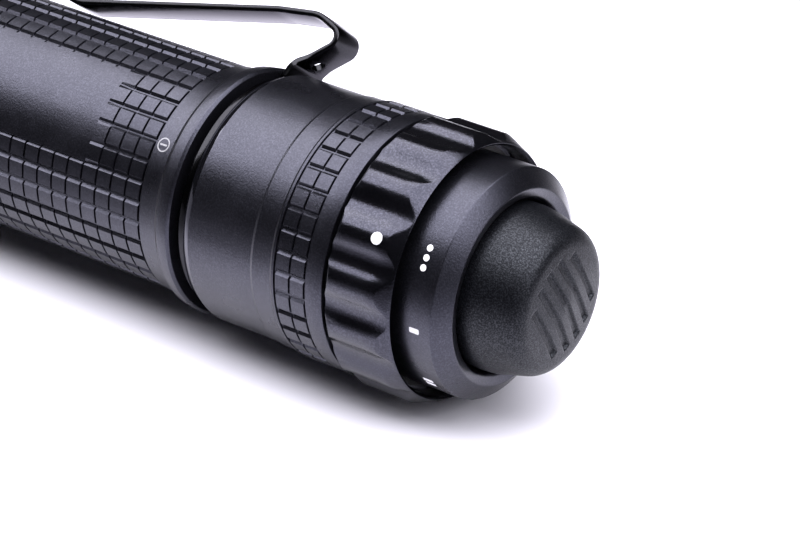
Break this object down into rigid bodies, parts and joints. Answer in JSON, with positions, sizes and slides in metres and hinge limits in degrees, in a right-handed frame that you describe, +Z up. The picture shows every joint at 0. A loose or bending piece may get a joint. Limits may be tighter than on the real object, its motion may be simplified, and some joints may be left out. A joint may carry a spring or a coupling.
{
  "type": "tactical flashlight",
  "caption": "Hand-held tactical flashlight with a knurled battery tube, pocket clip, unscrewing tail cap, ribbed selector ring and rubber tail button, lying on its side.",
  "frame": {"origin": "on the light's axis, at the plane where the notches in the bezel's front edge end", "axes": "+X along the light's axis towards the tail button, +Z up as the light lies on a table, +Y the side that the pocket clip leans to"},
  "size_m": [0.1458, 0.0318, 0.032],
  "materials": {
    "anodised_aluminium": "black hard-anodised, fine matt grain",
    "satin_aluminium": "black hard-anodised, smoother and glossier than the body",
    "coated_steel": "black coated spring steel, satin",
    "button_rubber": "moulded silicone with a fine grain",
    "seal_rubber": "smooth black rubber",
    "window_glass": "clear coated glass",
    "mirror_coating": "vacuum-coated smooth parabola",
    "white_plastic": "moulded white",
    "emitter_phosphor": "yellow phosphor under clear silicone",
    "copper_board": "tinned copper board",
    "lead_insulation": "silicone wire",
    "circuit_board": "green solder mask",
    "brass": "machined",
    "gold_spring": "gold-plated spring wire",
    "nickel_steel": "nickel-plated",
    "cell_sleeve": "shrink sleeve",
    "black_plastic": "moulded",
    "bearing_steel": "polished",
    "slide_polymer": "low-friction polymer",
    "ceramic": "polished white ceramic"
  },
  "bodies": {
    "light_body": {"bezel": "anodised_aluminium", "strike_beads": "ceramic", "lens_seal": "seal_rubber", "lens": "window_glass", "reflector": "mirror_coating", "centering_ring": "white_plastic", "led_emitter": "emitter_phosphor", "led_board": "copper_board", "led_leads": "lead_insulation", "head": "anodised_aluminium", "driver_board": "circuit_board", "driver_ring": "brass", "head_spring": "gold_spring", "head_seal": "seal_rubber", "body_tube": "anodised_aluminium", "tail_seal": "seal_rubber"},
    "clip": {"pocket_clip": "coated_steel"},
    "battery": {"cell_can": "nickel_steel", "cell_insulator": "white_plastic", "cell_wrap": "cell_sleeve"},
    "tail_cap": {"tail_housing": "anodised_aluminium", "tail_collar": "anodised_aluminium", "switch_ring": "brass", "switch_board": "circuit_board", "switch_body": "black_plastic", "tail_spring": "gold_spring", "detent_ball": "bearing_steel", "detent_spring": "bearing_steel", "slide_washer": "slide_polymer"},
    "selector": {"selector_ring": "satin_aluminium", "selector_magnet": "nickel_steel"},
    "button": {"button_boot": "button_rubber", "button_plunger": "black_plastic"}
  },
  "joints": [
    {"name": "clip_turn", "type": "hinge", "parent": "light_body", "child": "clip", "pos_m": [0.1036, 0, 0], "axis": [1, 0, 0], "continuous": true},
    {"name": "cell_travel", "type": "slide", "parent": "light_body", "child": "battery", "axis": [1, 0, 0], "range_m": [0, 0.006]},
    {"name": "cap_unscrew", "type": "hinge", "parent": "battery", "child": "tail_cap", "pos_m": [0.1143, 0, 0], "axis": [1, 0, 0], "range_deg": [0, 2160]},
    {"name": "selector_turn", "type": "hinge", "parent": "tail_cap", "child": "selector", "pos_m": [0.1263, 0, 0], "axis": [1, 0, 0], "range_deg": [0, 108]},
    {"name": "button_press", "type": "slide", "parent": "tail_cap", "child": "button", "axis": [-1, 0, 0], "range_m": [0, 0.0022], "stiffness_N_per_m": 400}
  ],
  "couplings": [
    {"joint": "cap_unscrew", "follows": "cell_travel", "rad_per_m": 6283.2}
  ]
}
